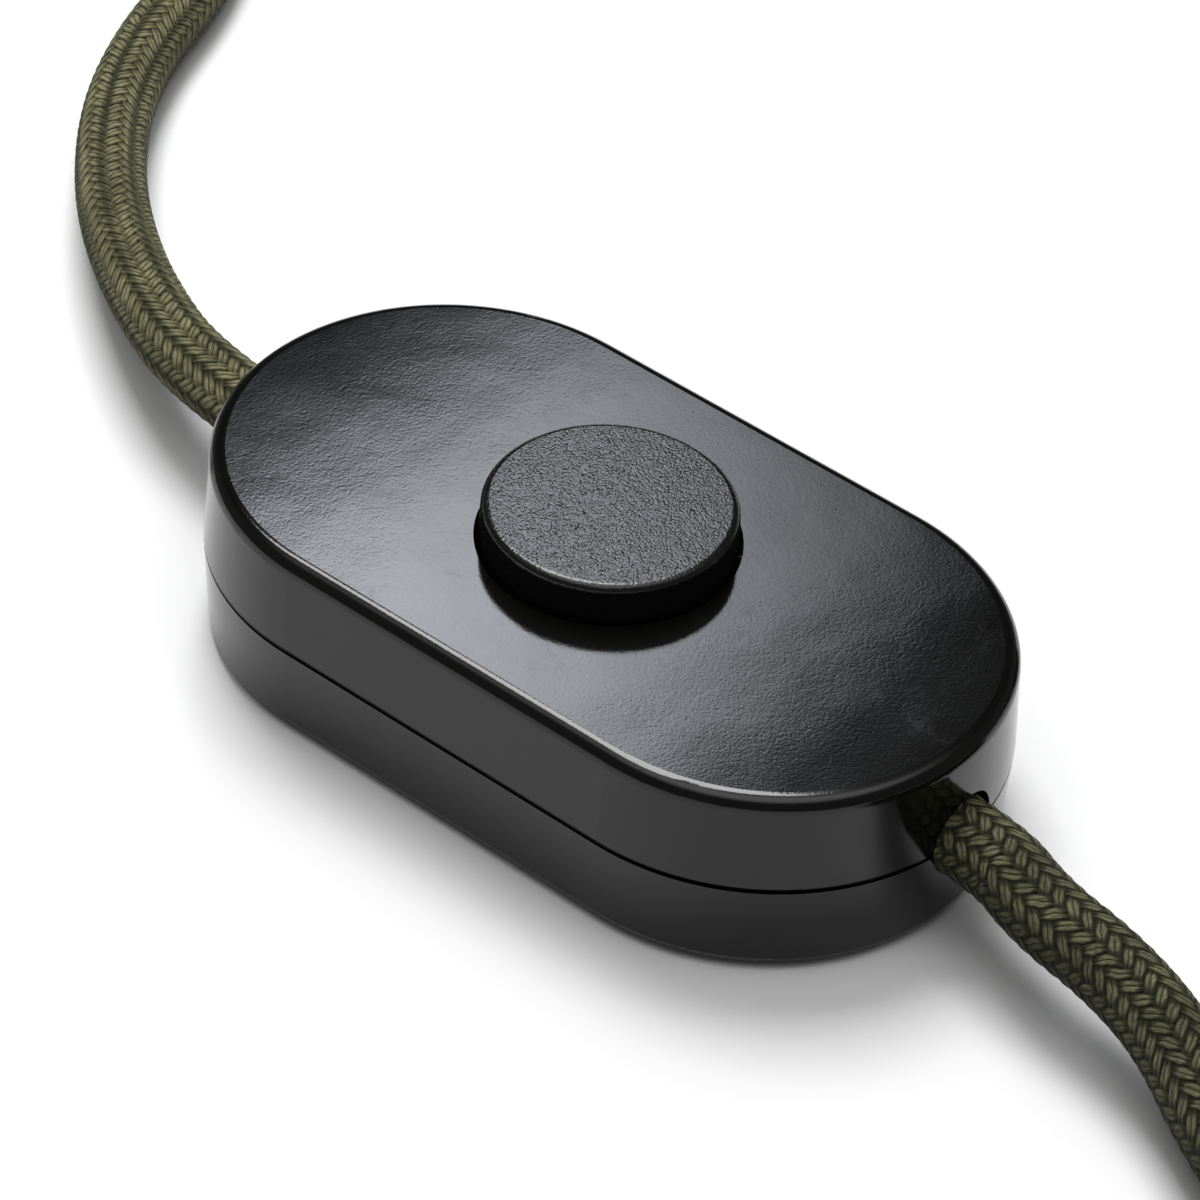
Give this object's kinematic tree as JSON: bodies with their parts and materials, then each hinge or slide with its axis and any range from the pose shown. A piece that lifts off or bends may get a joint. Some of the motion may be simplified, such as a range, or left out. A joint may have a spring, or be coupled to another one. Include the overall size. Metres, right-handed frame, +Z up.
{
  "type": "lamp foot switch",
  "caption": "Inline push button foot switch in a slot-shaped two-part housing, with a braided textile lead, a mains plug and ferruled lamp ends.",
  "frame": {"origin": "on the floor under the middle of the housing", "axes": "+Z up through the button, +X along the housing towards the plug side of the lead"},
  "size_m": [0.4027, 0.1442, 0.0336],
  "materials": {
    "black_bakelite": "satin black moulded shell with a fine leathery grain",
    "black_button": "matt black button with a fine grain",
    "olive_textile": "olive green braided textile cover",
    "black_rubber": "matt black",
    "zinc_screw": "zinc plated",
    "brass": "turned brass",
    "leaf_bronze": "bronze spring strip",
    "nylon_white": "natural nylon moulding",
    "nylon_black": "black nylon moulding",
    "spring_steel": "drawn spring wire",
    "core_brown": "brown insulation",
    "core_blue": "blue insulation",
    "core_green_yellow": "green and yellow striped insulation",
    "plug_black": "black moulded plug",
    "nickel": "nickel plated brass",
    "tie_black": "black hook and loop band",
    "ferrule_tin": "tinned ferrules"
  },
  "bodies": {
    "root": {"lower_shell": "black_bakelite", "upper_shell": "black_bakelite", "housing_screws": "zinc_screw", "rubber_feet": "black_rubber", "mains_cord_clamp": "nylon_black", "lamp_cord_clamp": "nylon_black", "clamp_screws": "zinc_screw", "neutral_terminal": "brass", "earth_terminal": "brass", "line_in_terminal": "brass", "line_out_terminal": "brass", "terminal_screws": "zinc_screw", "line_in_leaf": "leaf_bronze", "line_out_leaf": "leaf_bronze", "mains_line_core": "core_brown", "lamp_line_core": "core_brown", "mains_neutral_core": "core_blue", "lamp_neutral_core": "core_blue", "mains_earth_core": "core_green_yellow", "lamp_earth_core": "core_green_yellow", "switch_frame": "nylon_white", "frame_screws": "zinc_screw", "return_spring": "spring_steel", "mains_cord": "olive_textile", "mains_cord_tail": "olive_textile", "mains_coil": "olive_textile", "mains_coil_tie": "tie_black", "plug_strain_relief": "plug_black", "plug_body": "plug_black", "plug_earth_clips": "nickel", "plug_pins": "nickel", "lamp_cord": "olive_textile", "lamp_cord_tail": "olive_textile", "lamp_coil": "olive_textile", "lamp_coil_tie": "tie_black", "lamp_end_sleeve": "black_rubber", "lamp_end_cores": "core_brown", "lamp_end_ferrules": "ferrule_tin"},
    "button": {"button_cap": "black_button", "plunger": "nylon_white"},
    "rotor": {"ratchet_rotor": "nylon_black", "rotor_contact": "brass", "rotor_axle": "zinc_screw"}
  },
  "joints": [
    {"name": "button_press", "type": "slide", "parent": "root", "child": "button", "axis": [0, 0, 1], "range_m": [-0.003, 0], "stiffness_N_per_m": 900, "springref_m": 0.002, "deforming": ["return_spring"]},
    {"name": "rotor_turn", "type": "hinge", "parent": "root", "child": "rotor", "pos_m": [0, 0, 0.009], "axis": [0, 1, 0], "range_deg": [0, 45]}
  ],
  "couplings": [
    {"joint": "rotor_turn", "follows": "button_press", "rad_per_m": -261.79}
  ]
}
